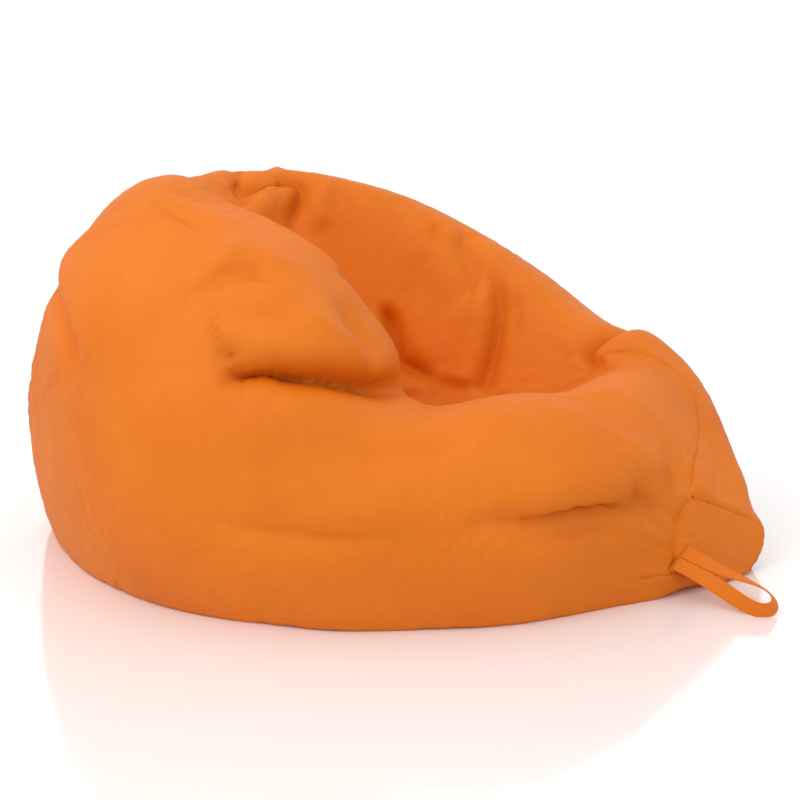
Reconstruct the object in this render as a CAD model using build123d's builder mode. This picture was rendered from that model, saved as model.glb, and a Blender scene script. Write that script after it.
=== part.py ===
"""A pear-shaped bean bag chair, settled on its side as a lounge seat.

Units are millimetres, +Z is up and the floor is z = 0. The small end of the pear, with its
carrying handle, is towards -Y, and the big end, with its zip, is towards +Y. A sitter faces -Y.

The bag is three layers, one inside the next: a cover sewn from six gores and two end panels, a
thin liner sack, and the bead fill. Every layer is the same lofted shape at its own inset. The
seams of the cover are the places where its shell is cut into panels.

The shape is laid out from the middle of the seat. MOVE_TO_ORIGIN puts the row frame's origin
under the middle of the whole chair when the pieces are written.
"""

import os
from collections import namedtuple
from math import cos, hypot, radians, sin

from build123d import *

MOVE_TO_ORIGIN = (20, 50, 0)

# Layers, as distances in from the outside of the bag.
COVER_THICKNESS = 2.0
LINER_INSET = 4.0
LINER_THICKNESS = 1.5
FILL_INSET = 7.5

# The flat end panels. Behind the big one there is extra room for the back of the zip.
BASE_CENTRE = (0, 566, 235)
BASE_LEAN = 12.0
LINER_BASE_INSET = 9.0
FILL_BASE_INSET = 12.5
CAP_CENTRE = (55, -580, 60)
CAP_TURN = 20.0
CAP_LEAN = 10.0

# Gore seams. The top seam is a curve in plan, from the cap over the foot end, through the seat
# and up the backrest. The right seam is a curve of heights along Y, and RIGHT_SPLIT is a line in
# plan, inside the bag, that keeps it to the right side. The low seams are level, left and right,
# and the two floor seams are curves in plan on the underside.
TOP_SEAM = [(-100, -600), (-45, -562), (-10, -544), (45, -530), (115, -512), (170, -490), (198, -465),
            (200, -430), (190, -360), (175, -280), (145, -120), (95, 60), (30, 250), (-35, 390),
            (-50, 500), (-50, 740)]
RIGHT_SEAM = [(-740, 52), (-620, 70), (-480, 120), (-250, 190), (0, 235), (300, 240), (740, 235)]
RIGHT_SPLIT = [(110, -740), (120, -560), (200, -400), (250, -150), (250, 150), (120, 450), (80, 740)]
LOW_SEAM_HEIGHT = 42.0
FLOOR_SEAM_LEFT = [(45, -740), (45, -580), (-30, -450), (-130, -250), (-170, 0), (-170, 250),
                   (-125, 560), (-110, 740)]
FLOOR_SEAM_RIGHT = [(110, -740), (115, -600), (160, -450), (200, -200), (200, 150), (175, 350),
                    (125, 560), (110, 740)]

# Zip up the middle of the big end panel. Depths are measured out from the panel's outer face.
ZIP_START = -170.0
ZIP_LENGTH = 380.0
ZIP_WINDOW = 24.0
TAPE_THICKNESS = 0.8
TAPE_OUTER_EDGE = 20.0
COIL_INNER_EDGE = 1.0
COIL_OUTER_EDGE = 4.0
COIL_BACK, COIL_FRONT = -3.6, -1.2
STOP_HEIGHT = 4.0
SLIDER_WIDTH, SLIDER_HEIGHT, SLIDER_PLATE = 9.6, 14.0, 1.2
SLIDER_BACK, SLIDER_FRONT = -4.1, -0.7
SLIDER_REST = ZIP_START + STOP_HEIGHT + 9.0
PIN_DEPTH = 3.8
PIN_RADIUS = 0.9
EYE_CLEARANCE = 0.6
EYE_WALL = 1.2
EYE_HALF_WIDTH = 2.0
LUG = (2.6, 3.8)
PULL_LENGTH = 32.0
PULL_THICKNESS = 1.4

# Carrying handle: a flat strap looped back on itself, held by a sewn tab at the left of the small
# end. The root is in the small end panel's plane, and turn is the way the strap's width runs.
HANDLE_ROOT = (-104, 6)
HANDLE_TURN = 212.0
HANDLE_DROOP = 33.0
HANDLE_THICKNESS = 2.4
HANDLE_OUTLINE = [(27, 0), (29, 65), (32, 132), (27, 158), (12, 172), (-12, 172), (-27, 158),
                  (-32, 132), (-29, 65), (-27, 0)]
HANDLE_OPENING = [(1, 44), (9, 124), (6, 142), (-6, 142), (-9, 124), (-1, 44)]
TAB_SIZE = (58, 9, 1.6)
TAB_CLEARANCE = 0.7

# One cross-section of the bag, square to Y. Left is -X. The skin leaves the floor at contact,
# is widest at bulge, turns over the arm at rim, and is level across the seat hollow from seat_l
# to seat_r. keel is the height of its lowest line, where the floor then presses it flat.
Station = namedtuple(
    "Station", "y keel contact_l bulge_l rim_l seat_l seat_z seat_r rim_r bulge_r contact_r"
)
STATIONS = [
    Station(-700, 10, 80, (65, 25), (90, 35), 100, 35, 115, (125, 35), (150, 25), 135),
    Station(-645, 0, 60, (40, 40), (68, 72), 90, 76, 115, (130, 72), (155, 40), 135),
    Station(-600, -15, 36, (10, 60), (50, 106), 75, 118, 130, (150, 116), (188, 62), 160),
    Station(-550, -25, -12, (-50, 82), (8, 150), 65, 168, 135, (178, 176), (240, 82), 200),
    Station(-490, -30, -84, (-128, 112), (-52, 228), 50, 250, 145, (212, 260), (305, 108), 255),
    Station(-390, -30, -212, (-290, 143), (-130, 312), 20, 325, 140, (245, 340), (390, 145), 325),
    Station(-260, -30, -325, (-404, 164), (-202, 325), -40, 262, 120, (285, 362), (455, 170), 375),
    Station(-130, -30, -400, (-490, 185), (-262, 352), -70, 200, 100, (308, 430), (490, 190), 400),
    Station(-60, -30, -420, (-512, 195), (-232, 485), -78, 190, 98, (306, 470), (500, 195), 405),
    Station(20, -30, -437, (-533, 205), (-222, 562), -80, 185, 94, (294, 512), (505, 200), 410),
    Station(130, -30, -445, (-545, 215), (-218, 606), -75, 240, 85, (258, 566), (500, 210), 400),
    Station(245, -30, -430, (-525, 225), (-205, 632), -65, 425, 70, (200, 605), (480, 220), 380),
    Station(360, -30, -395, (-478, 232), (-178, 642), -60, 608, 60, (150, 618), (435, 230), 340),
    Station(455, -25, -345, (-420, 236), (-145, 598), -55, 600, 55, (135, 587), (380, 240), 290),
    Station(530, -10, -295, (-365, 236), (-135, 492), -55, 500, 55, (125, 492), (325, 240), 240),
    Station(600, 15, -240, (-300, 232), (-125, 382), -50, 388, 50, (115, 386), (270, 235), 200),
    Station(680, 50, -195, (-245, 225), (-110, 290), -45, 295, 45, (100, 292), (220, 225), 170),
]

# Handle length of a cubic Bezier that draws a quarter of an ellipse.
QUARTER = 0.5523


def end_plane(centre, turn, lean, outward):
    """The plane of a flat end panel. Its local +Y runs up the panel and +Z points out."""
    normal = (
        -sin(radians(turn)) * cos(radians(lean)),
        outward * cos(radians(turn)) * cos(radians(lean)),
        sin(radians(lean)),
    )
    return Plane(centre, x_dir=(-outward * cos(radians(turn)), -sin(radians(turn)), 0), z_dir=normal)


BASE_PLANE = end_plane(BASE_CENTRE, 0, BASE_LEAN, 1)
CAP_PLANE = end_plane(CAP_CENTRE, CAP_TURN, CAP_LEAN, -1)


def slope(index, value):
    """How much longer an inset is in the section than square to the skin, from the slope in Y."""
    before, after = STATIONS[max(index - 1, 0)], STATIONS[min(index + 1, len(STATIONS) - 1)]
    return hypot(1, (value(after) - value(before)) / (after.y - before.y))


def half_section(side, keel, contact, bulge, rim, seat, seat_z, inset):
    """Draw one side of a section, from the floor contact round the arm and down to the seat.

    side is +1 for the right side and -1 for the left."""
    flank, arm = bulge[1] - keel, rim[1] - bulge[1]
    Bezier(
        (contact, keel),
        (contact + QUARTER * (bulge[0] - contact), keel),
        (bulge[0], bulge[1] - QUARTER * flank),
        bulge,
    )
    Bezier(
        bulge,
        (bulge[0], bulge[1] + QUARTER * arm),
        (rim[0] + QUARTER * (bulge[0] - rim[0]), rim[1]),
        rim,
    )
    reach = abs(rim[0] - seat) / 2
    Bezier(
        rim,
        (rim[0] - side * max(reach - inset, 4), rim[1]),
        (seat + side * (reach + inset), seat_z),
        (seat, seat_z),
    )


def draw_section(index, inset):
    """Draw one closed cross-section of a layer, inset from the outside of the bag."""
    s = STATIONS[index]
    keel = s.keel + inset
    seat_z = s.seat_z - inset * slope(index, lambda n: n.seat_z)
    bulge_l = (s.bulge_l[0] + inset * slope(index, lambda n: n.bulge_l[0]), s.bulge_l[1])
    bulge_r = (s.bulge_r[0] - inset * slope(index, lambda n: n.bulge_r[0]), s.bulge_r[1])
    rim_l = (s.rim_l[0], s.rim_l[1] - inset * slope(index, lambda n: n.rim_l[1]))
    rim_r = (s.rim_r[0], s.rim_r[1] - inset * slope(index, lambda n: n.rim_r[1]))
    half_section(-1, keel, s.contact_l, bulge_l, rim_l, s.seat_l, seat_z, inset)
    Line((s.seat_l, seat_z), (s.seat_r, seat_z))
    half_section(1, keel, s.contact_r, bulge_r, rim_r, s.seat_r, seat_z, inset)
    Line((s.contact_r, keel), (s.contact_l, keel))


def cut_beyond(plane):
    """Cut away everything on the outer side of a plane."""
    with Locations(plane):
        Box(2400, 2400, 2000, align=(Align.CENTER, Align.CENTER, Align.MIN), mode=Mode.SUBTRACT)


def bag_layer(inset, base_inset):
    """The solid inside one layer's surface, pressed flat at the floor and at both end panels."""
    with BuildPart() as layer:
        for index, station in enumerate(STATIONS):
            with BuildSketch(Plane.XZ.offset(-station.y)):
                with BuildLine():
                    draw_section(index, inset)
                make_face()
        loft()
        cut_beyond(Plane((0, 0, inset), x_dir=(1, 0, 0), z_dir=(0, 0, -1)))
        cut_beyond(BASE_PLANE.offset(-base_inset))
        cut_beyond(CAP_PLANE.offset(-inset))
    return layer.part


def plan_region(curve, far_x, from_low_seam=900):
    """The space between a curve in plan and a far line of constant X, up or down from the low seam."""
    with BuildPart() as region:
        with BuildSketch(Plane.XY.offset(LOW_SEAM_HEIGHT)):
            with BuildLine():
                edge = Spline(*curve)
                Polyline(edge @ 1, (far_x, curve[-1][1]), (far_x, curve[0][1]), edge @ 0)
            make_face()
        extrude(amount=from_low_seam)
    return region.part


def right_side_region():
    """The space under the right seam, above the low seam, and to the right of RIGHT_SPLIT."""
    with BuildPart() as region:
        with BuildSketch(Plane.YZ):
            with BuildLine():
                edge = Spline(*RIGHT_SEAM)
                Polyline(edge @ 1, (RIGHT_SEAM[-1][0], LOW_SEAM_HEIGHT),
                         (RIGHT_SEAM[0][0], LOW_SEAM_HEIGHT), edge @ 0)
            make_face()
        extrude(amount=900)
        add(plan_region(RIGHT_SPLIT, 900), mode=Mode.INTERSECT)
    return region.part


def block(plane, x_span, y_span, z_span, mode=Mode.ADD):
    """A box between two limits along each of a plane's directions."""
    with Locations(plane.location * Location((x_span[0], y_span[0], z_span[0]))):
        Box(
            x_span[1] - x_span[0],
            y_span[1] - y_span[0],
            z_span[1] - z_span[0],
            align=(Align.MIN, Align.MIN, Align.MIN),
            mode=mode,
        )


# ---- the three layers ----

outside = bag_layer(0, 0)
cover_inside = bag_layer(COVER_THICKNESS, COVER_THICKNESS)
liner_outside = bag_layer(LINER_INSET, LINER_BASE_INSET)
liner_inside = bag_layer(LINER_INSET + LINER_THICKNESS, LINER_BASE_INSET + LINER_THICKNESS)

with BuildPart() as bead_fill:
    add(bag_layer(FILL_INSET, FILL_BASE_INSET))

with BuildPart() as inner_liner:
    add(liner_outside)
    add(liner_inside, mode=Mode.SUBTRACT)

# ---- end panels of the cover ----

with BuildPart() as end_cap_panel:
    add(outside)
    cut_beyond(Plane(CAP_PLANE.offset(-COVER_THICKNESS).origin, x_dir=CAP_PLANE.x_dir, z_dir=-CAP_PLANE.z_dir))


def base_panel_half(side):
    """Half of the big end panel, with its half of the zip's window left out."""
    back = BASE_PLANE.offset(-COVER_THICKNESS)
    with BuildPart() as half:
        add(outside)
        cut_beyond(Plane(back.origin, x_dir=back.x_dir, z_dir=-back.z_dir))
        cut_beyond(Plane(BASE_CENTRE, x_dir=(0, 1, 0), z_dir=(-side, 0, 0)))
        block(BASE_PLANE, (-ZIP_WINDOW / 2, ZIP_WINDOW / 2), (ZIP_START, ZIP_START + ZIP_LENGTH),
              (-10, 10), mode=Mode.SUBTRACT)
    return half.part


with BuildPart() as base_panel_left:
    add(base_panel_half(-1))

with BuildPart() as base_panel_right:
    add(base_panel_half(1))

# ---- gores of the cover ----

with BuildPart() as gore_shell:
    add(outside)
    add(cover_inside, mode=Mode.SUBTRACT)
    cut_beyond(BASE_PLANE.offset(-COVER_THICKNESS))
    cut_beyond(CAP_PLANE.offset(-COVER_THICKNESS))

left_of_top_seam = plan_region(TOP_SEAM, -900)
right_side = right_side_region()
left_of_floor_seam = plan_region(FLOOR_SEAM_LEFT, -900, -100)
right_of_floor_seam = plan_region(FLOOR_SEAM_RIGHT, 900, -100)

with BuildPart() as gore_left:
    add(gore_shell.part)
    add(left_of_top_seam, mode=Mode.INTERSECT)

with BuildPart() as gore_right_lower:
    add(gore_shell.part)
    add(right_side, mode=Mode.INTERSECT)

with BuildPart() as gore_under_left:
    add(gore_shell.part)
    add(left_of_floor_seam, mode=Mode.INTERSECT)

with BuildPart() as gore_under_right:
    add(gore_shell.part)
    add(right_of_floor_seam, mode=Mode.INTERSECT)

with BuildPart() as gore_right_upper:
    add(gore_shell.part)
    cut_beyond(Plane((0, 0, LOW_SEAM_HEIGHT), x_dir=(1, 0, 0), z_dir=(0, 0, -1)))
    add(left_of_top_seam, mode=Mode.SUBTRACT)
    add(right_side, mode=Mode.SUBTRACT)

with BuildPart() as gore_under_middle:
    add(gore_shell.part)
    cut_beyond(Plane((0, 0, LOW_SEAM_HEIGHT)))
    add(left_of_floor_seam, mode=Mode.SUBTRACT)
    add(right_of_floor_seam, mode=Mode.SUBTRACT)

# ---- zip of the big end panel ----

ZIP_SPAN = (ZIP_START, ZIP_START + ZIP_LENGTH)
TAPE_DEPTH = (-COVER_THICKNESS - TAPE_THICKNESS, -COVER_THICKNESS)
COIL_DEPTH = (COIL_BACK, COIL_FRONT)
COIL_SPAN = (ZIP_START + STOP_HEIGHT, ZIP_START + ZIP_LENGTH - STOP_HEIGHT)

# The panel's local +X points to the bag's -X, so the left tape is on the local plus side.
with BuildPart() as zip_tape_left:
    block(BASE_PLANE, (COIL_OUTER_EDGE, TAPE_OUTER_EDGE), ZIP_SPAN, TAPE_DEPTH)

with BuildPart() as zip_tape_right:
    block(BASE_PLANE, (-TAPE_OUTER_EDGE, -COIL_OUTER_EDGE), ZIP_SPAN, TAPE_DEPTH)

with BuildPart() as zip_coil_left:
    block(BASE_PLANE, (COIL_INNER_EDGE, COIL_OUTER_EDGE), COIL_SPAN, COIL_DEPTH)

with BuildPart() as zip_coil_right:
    block(BASE_PLANE, (-COIL_OUTER_EDGE, -COIL_INNER_EDGE), COIL_SPAN, COIL_DEPTH)

with BuildPart() as zip_bottom_stop:
    block(BASE_PLANE, (-COIL_OUTER_EDGE, COIL_OUTER_EDGE), (ZIP_SPAN[0], COIL_SPAN[0]), COIL_DEPTH)

with BuildPart() as zip_top_stop:
    block(BASE_PLANE, (-COIL_OUTER_EDGE, COIL_OUTER_EDGE), (COIL_SPAN[1], ZIP_SPAN[1]), COIL_DEPTH)

SLIDER_X = (-SLIDER_WIDTH / 2, SLIDER_WIDTH / 2)
SLIDER_Y = (SLIDER_REST - SLIDER_HEIGHT / 2, SLIDER_REST + SLIDER_HEIGHT / 2)
PIN_PLANE = Plane(
    BASE_PLANE.from_local_coords((0, SLIDER_REST, PIN_DEPTH)),
    x_dir=BASE_PLANE.y_dir,
    z_dir=BASE_PLANE.x_dir,
)
EYE_RADIUS = PIN_RADIUS + EYE_CLEARANCE
OUT_OF_BASE = Axis(BASE_CENTRE, BASE_PLANE.z_dir)

# Two plates with a neck between them that runs in the gap between the coils. Two lugs on the
# front plate carry the pin that the pull hangs from.
with BuildPart() as zip_slider:
    block(BASE_PLANE, SLIDER_X, SLIDER_Y, (SLIDER_FRONT, SLIDER_FRONT + SLIDER_PLATE))
    block(BASE_PLANE, SLIDER_X, SLIDER_Y, (SLIDER_BACK - SLIDER_PLATE, SLIDER_BACK))
    fillet(zip_slider.edges().filter_by(OUT_OF_BASE), radius=2.5)
    block(BASE_PLANE, (-0.5, 0.5), (SLIDER_REST - 4.5, SLIDER_REST + 4.5), (SLIDER_BACK, SLIDER_FRONT))
    for lug in (LUG, (-LUG[1], -LUG[0])):
        block(BASE_PLANE, lug, (SLIDER_REST - 1.8, SLIDER_REST + 1.8), (SLIDER_FRONT, PIN_DEPTH + 1.4))
    with Locations(PIN_PLANE):
        Cylinder(PIN_RADIUS, 2 * LUG[1])

# A flat tab hanging from an eye round the pin, with a hole near its end.
with BuildPart() as zip_pull:
    with BuildSketch(PIN_PLANE):
        Circle(EYE_RADIUS + EYE_WALL)
        Circle(EYE_RADIUS, mode=Mode.SUBTRACT)
    extrude(amount=EYE_HALF_WIDTH, both=True)
    block(BASE_PLANE, (-EYE_HALF_WIDTH, EYE_HALF_WIDTH), (SLIDER_REST - 12, SLIDER_REST - 2.1),
          (PIN_DEPTH - PULL_THICKNESS / 2, PIN_DEPTH + PULL_THICKNESS / 2))
    with BuildSketch(BASE_PLANE.offset(PIN_DEPTH - PULL_THICKNESS / 2)):
        with Locations((0, SLIDER_REST - (9 + PULL_LENGTH) / 2)):
            RectangleRounded(8, PULL_LENGTH - 9, 2.5)
        with Locations((0, SLIDER_REST - PULL_LENGTH + 4.5)):
            Circle(1.8, mode=Mode.SUBTRACT)
    extrude(amount=PULL_THICKNESS)

# ---- carrying handle ----

ACROSS = CAP_PLANE.x_dir * cos(radians(HANDLE_TURN)) + CAP_PLANE.y_dir * sin(radians(HANDLE_TURN))
DOWN = CAP_PLANE.y_dir * cos(radians(HANDLE_TURN)) - CAP_PLANE.x_dir * sin(radians(HANDLE_TURN))
ALONG = CAP_PLANE.z_dir * cos(radians(HANDLE_DROOP)) + DOWN * sin(radians(HANDLE_DROOP))
HANDLE_AXIS_HEIGHT = TAB_SIZE[2] + TAB_CLEARANCE + HANDLE_THICKNESS / 2
HANDLE_PLANE = Plane(
    CAP_PLANE.from_local_coords((HANDLE_ROOT[0], HANDLE_ROOT[1], HANDLE_AXIS_HEIGHT)),
    x_dir=ACROSS,
    z_dir=ACROSS.cross(ALONG),
)

# The strap's root is rounded about the line it folds on, so that it clears the sewn tab.
with BuildPart() as handle_strap:
    with BuildSketch(HANDLE_PLANE.offset(-HANDLE_THICKNESS / 2)):
        Polygon(*HANDLE_OUTLINE, align=None)
        Polygon(*HANDLE_OPENING, align=None, mode=Mode.SUBTRACT)
    extrude(amount=HANDLE_THICKNESS)
    with Locations(Plane(HANDLE_PLANE.origin, x_dir=HANDLE_PLANE.y_dir, z_dir=HANDLE_PLANE.x_dir)):
        Cylinder(HANDLE_THICKNESS / 2, 2 * HANDLE_OUTLINE[0][0])

with BuildPart() as handle_tab:
    with Locations(Plane(CAP_PLANE.from_local_coords((*HANDLE_ROOT, 0)), x_dir=ACROSS, z_dir=CAP_PLANE.z_dir)):
        Box(*TAB_SIZE, align=(Align.CENTER, Align.CENTER, Align.MIN))

NODES = {
    "bead_fill": bead_fill,
    "inner_liner": inner_liner,
    "end_cap_panel": end_cap_panel,
    "base_panel_left": base_panel_left,
    "base_panel_right": base_panel_right,
    "gore_left": gore_left,
    "gore_right_upper": gore_right_upper,
    "gore_right_lower": gore_right_lower,
    "gore_under_left": gore_under_left,
    "gore_under_middle": gore_under_middle,
    "gore_under_right": gore_under_right,
    "zip_tape_left": zip_tape_left,
    "zip_tape_right": zip_tape_right,
    "zip_coil_left": zip_coil_left,
    "zip_coil_right": zip_coil_right,
    "zip_bottom_stop": zip_bottom_stop,
    "zip_top_stop": zip_top_stop,
    "zip_slider": zip_slider,
    "zip_pull": zip_pull,
    "handle_strap": handle_strap,
    "handle_tab": handle_tab,
}

os.makedirs("parts", exist_ok=True)
for name, piece in NODES.items():
    piece.part.label = name
    export_step(piece.part.moved(Location(MOVE_TO_ORIGIN)), f"parts/{name}.step")
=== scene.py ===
"""The looks of the bean bag chair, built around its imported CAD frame.

Lengths are in metres. The bag is laid out from the middle of the seat, as in the CAD source, and
moved into the row frame by ROW_SHIFT. Left is -X, the sitter's right arm. The bag's skin is one
closed grid of points, in rows from the small end to the big end and columns round the bag. It is
folded and creased, relaxed as cloth, drawn in at its seams, and then cut into its panels.
"""

from math import cos, pi, radians, sin

import bmesh
import bpy
import numpy as np
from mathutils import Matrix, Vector, kdtree


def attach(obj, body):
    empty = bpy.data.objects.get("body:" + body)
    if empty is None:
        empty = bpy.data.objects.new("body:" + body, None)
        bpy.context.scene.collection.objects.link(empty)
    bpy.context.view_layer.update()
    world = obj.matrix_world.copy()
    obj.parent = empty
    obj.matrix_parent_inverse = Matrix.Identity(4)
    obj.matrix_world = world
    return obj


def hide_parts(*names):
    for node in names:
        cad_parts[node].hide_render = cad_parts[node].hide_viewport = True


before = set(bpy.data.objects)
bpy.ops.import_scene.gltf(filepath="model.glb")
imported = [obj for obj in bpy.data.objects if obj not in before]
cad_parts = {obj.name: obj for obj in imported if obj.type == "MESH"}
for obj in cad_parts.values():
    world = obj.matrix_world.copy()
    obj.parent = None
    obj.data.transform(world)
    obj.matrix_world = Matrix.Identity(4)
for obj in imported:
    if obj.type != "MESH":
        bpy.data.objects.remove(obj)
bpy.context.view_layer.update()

ROW_SHIFT = np.array([0.020, 0.050, 0.0])

# ---- the settled shape, as in the CAD source ----

# Each row is one cross-section in millimetres: y, keel height, floor contact on the left, bulge,
# rim, left edge and height of the seat, its right edge, rim, bulge and floor contact on the right.
STATIONS = [
    (-700, 10, 80, 65, 25, 90, 35, 100, 35, 115, 125, 35, 150, 25, 135),
    (-645, 0, 60, 40, 40, 68, 72, 90, 76, 115, 130, 72, 155, 40, 135),
    (-600, -15, 36, 10, 60, 50, 106, 75, 118, 130, 150, 116, 188, 62, 160),
    (-550, -25, -12, -50, 82, 8, 150, 65, 168, 135, 178, 176, 240, 82, 200),
    (-490, -30, -84, -128, 112, -52, 228, 50, 250, 145, 212, 260, 305, 108, 255),
    (-390, -30, -212, -290, 143, -130, 312, 20, 325, 140, 245, 340, 390, 145, 325),
    (-260, -30, -325, -404, 164, -202, 325, -40, 262, 120, 285, 362, 455, 170, 375),
    (-130, -30, -400, -490, 185, -262, 352, -70, 200, 100, 308, 430, 490, 190, 400),
    (-60, -30, -420, -512, 195, -232, 485, -78, 190, 98, 306, 470, 500, 195, 405),
    (20, -30, -437, -533, 205, -222, 562, -80, 185, 94, 294, 512, 505, 200, 410),
    (130, -30, -445, -545, 215, -218, 606, -75, 240, 85, 258, 566, 500, 210, 400),
    (245, -30, -430, -525, 225, -205, 632, -65, 425, 70, 200, 605, 480, 220, 380),
    (360, -30, -395, -478, 232, -178, 642, -60, 608, 60, 150, 618, 435, 230, 340),
    (455, -25, -345, -420, 236, -145, 598, -55, 600, 55, 135, 587, 380, 240, 290),
    (530, -10, -295, -365, 236, -135, 492, -55, 500, 55, 125, 492, 325, 240, 240),
    (600, 15, -240, -300, 232, -125, 382, -50, 388, 50, 115, 386, 270, 235, 200),
    (680, 50, -195, -245, 225, -110, 290, -45, 295, 45, 100, 292, 220, 225, 170),
]
QUARTER = 0.5523

WEAVE_MAP = "weave"

# The fabric: how far folds are exaggerated, and how the loose cloth is held, filled and grown.
FOLD_GAIN = 1.3
CLOTH_VOXEL, CLOTH_STEPS, CLOTH_LIMIT = 0.012, 20, 0.012
CLOTH_HOLD, CLOTH_PRESSURE, CLOTH_GROWTH = 0.35, 1.2, -0.012
CAP_BLEND, CAP_SQUARENESS, CAP_SEAM_DEPTH = 0.08, 0.85, 0.0035
SEAM_DEPTH, SEAM_WIDTH = 0.0035, 0.004
PUCKER_LENGTH, PUCKER_HEIGHT, PUCKER_REACH = 0.036, 0.0016, 0.016
LOW_SEAMS = (1, 4)
BASE_CROWN = 0.012
DARK_ORANGE, LIGHT_ORANGE = (0.69, 0.158, 0.0045), (0.75, 0.182, 0.0065)

# The zip, from the middle of the big end's plane, up it and out of it.
ZIP_WINDOW, ZIP_HALF_GAP = (-0.170, 0.210), 0.012
COIL_SPAN, COIL_PITCH, COIL_THREAD = (-0.166, 0.206), 0.0018, 0.00036

# The handle, from its root in the row frame. Half of the strap's middle line is along and across.
HANDLE_ROOT = np.array([-0.02355, -0.49669, 0.06652])
HANDLE_ACROSS = np.array([-0.82838, 0.20358, -0.52187])
HANDLE_ALONG = np.array([-0.03871, -0.95020, -0.30923])
HANDLE_OUT = np.cross(HANDLE_ACROSS, HANDLE_ALONG)
STRAP_LINE = [(-2, 13.5), (30, 13.8), (60, 15), (95, 18.5), (125, 21), (145, 18.5), (158, 11), (163, 0)]
STRAP_WIDTH, STRAP_THICKNESS, STRAP_TILT = 0.026, 0.0020, 62

CAMERA_TARGET, CAMERA_DISTANCE, CAMERA_LENS = (0.020, 0.050, 0.25), 2.75, 70
CAMERA_AZIMUTH, CAMERA_ELEVATION = -60, 14
WORLD_LIGHT, KEY_LIGHT, FILL_LIGHT = 1.0, 36, 4

BASE_CENTRE, BASE_LEAN = np.array([0, 0.566, 0.235]), radians(12)
CAP_CENTRE, CAP_TURN, CAP_LEAN = np.array([0.055, -0.580, 0.060]), radians(20), radians(10)
BASE_NORMAL = np.array([0, cos(BASE_LEAN), sin(BASE_LEAN)])
BASE_UP = np.array([0, -sin(BASE_LEAN), cos(BASE_LEAN)])
CAP_NORMAL = np.array([-sin(CAP_TURN) * cos(CAP_LEAN), -cos(CAP_TURN) * cos(CAP_LEAN), sin(CAP_LEAN)])

# Seams, as (y, x) in plan, (y, z) for the right seam, and a height for the two low seams.
TOP_SEAM = [(-0.6, -0.1), (-0.562, -0.045), (-0.544, -0.01), (-0.53, 0.045), (-0.512, 0.115),
            (-0.49, 0.17), (-0.465, 0.198), (-0.43, 0.2), (-0.36, 0.19), (-0.28, 0.175),
            (-0.12, 0.145), (0.06, 0.095), (0.25, 0.03), (0.39, -0.035), (0.5, -0.05), (0.74, -0.05)]
RIGHT_SEAM = [(-0.74, 0.052), (-0.62, 0.07), (-0.48, 0.12), (-0.25, 0.19), (0, 0.235), (0.3, 0.24),
              (0.74, 0.235)]
LOW_SEAM = 0.042
FLOOR_SEAM_LEFT = [(-0.74, 0.045), (-0.58, 0.045), (-0.45, -0.03), (-0.25, -0.13), (0, -0.17),
                   (0.25, -0.17), (0.56, -0.125), (0.74, -0.11)]
FLOOR_SEAM_RIGHT = [(-0.74, 0.11), (-0.6, 0.115), (-0.45, 0.16), (-0.2, 0.2), (0.15, 0.2),
                    (0.35, 0.175), (0.56, 0.125), (0.74, 0.11)]

# Columns of the grid in each gore, going round from the top seam down the left side.
GORES = [
    ("gore_left", 150),
    ("gore_under_left", 36),
    ("gore_under_middle", 40),
    ("gore_under_right", 36),
    ("gore_right_lower", 36),
    ("gore_right_upper", 100),
]
ROWS = 190


def smooth(x, low, high):
    """0 below low, 1 above high, and an even ease between them."""
    t = np.clip((x - low) / (high - low), 0, 1)
    return t * t * (3 - 2 * t)


class Spline:
    """A natural cubic spline through points, for one or more values at once."""

    def __init__(self, at, values):
        self.at, self.values = np.asarray(at, float), np.asarray(values, float)
        n, gap = len(self.at), np.diff(self.at)
        rows, right = np.eye(n), np.zeros_like(self.values)
        rise = np.diff(self.values, axis=0) / gap.reshape((-1,) + (1,) * (self.values.ndim - 1))
        for i in range(1, n - 1):
            rows[i, i - 1:i + 2] = gap[i - 1], 2 * (gap[i - 1] + gap[i]), gap[i]
            right[i] = 6 * (rise[i] - rise[i - 1])
        self.bend = np.linalg.solve(rows, right)

    def __call__(self, x):
        x = np.clip(x, self.at[0], self.at[-1])
        i = np.clip(np.searchsorted(self.at, x) - 1, 0, len(self.at) - 2)
        gap = self.at[i + 1] - self.at[i]
        b = (x - self.at[i]) / gap
        a = 1 - b
        if self.values.ndim > 1:
            a, b, gap = a[..., None], b[..., None], gap[..., None]
        curve = (a ** 3 - a) * self.bend[i] + (b ** 3 - b) * self.bend[i + 1]
        return a * self.values[i] + b * self.values[i + 1] + curve * gap ** 2 / 6


def bezier(t, a, b, c, d):
    s = 1 - t
    return s ** 3 * a + 3 * s * s * t * b + 3 * s * t * t * c + t ** 3 * d


def half_section(t, keel, contact, bulge_x, bulge_z, rim_x, rim_z, seat, seat_z):
    """x and z round one side, for t from 0 at the floor, 1 at the bulge, 2 at the rim, 3 at the seat."""
    flank, arm, reach = bulge_z - keel, rim_z - bulge_z, (seat - rim_x) / 2
    low, middle, high = np.clip(t, 0, 1), np.clip(t - 1, 0, 1), np.clip(t - 2, 0, 1)
    x = [
        bezier(low, contact, contact + QUARTER * (bulge_x - contact), bulge_x, bulge_x),
        bezier(middle, bulge_x, bulge_x, rim_x + QUARTER * (bulge_x - rim_x), rim_x),
        bezier(high, rim_x, rim_x + reach, seat - reach, seat),
    ]
    z = [
        bezier(low, keel, keel, bulge_z - QUARTER * flank, bulge_z),
        bezier(middle, bulge_z, bulge_z + QUARTER * arm, rim_z, rim_z),
        bezier(high, rim_z, rim_z, seat_z, seat_z),
    ]
    return np.choose((t > 1).astype(int) + (t > 2), x), np.choose((t > 1).astype(int) + (t > 2), z)


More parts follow.
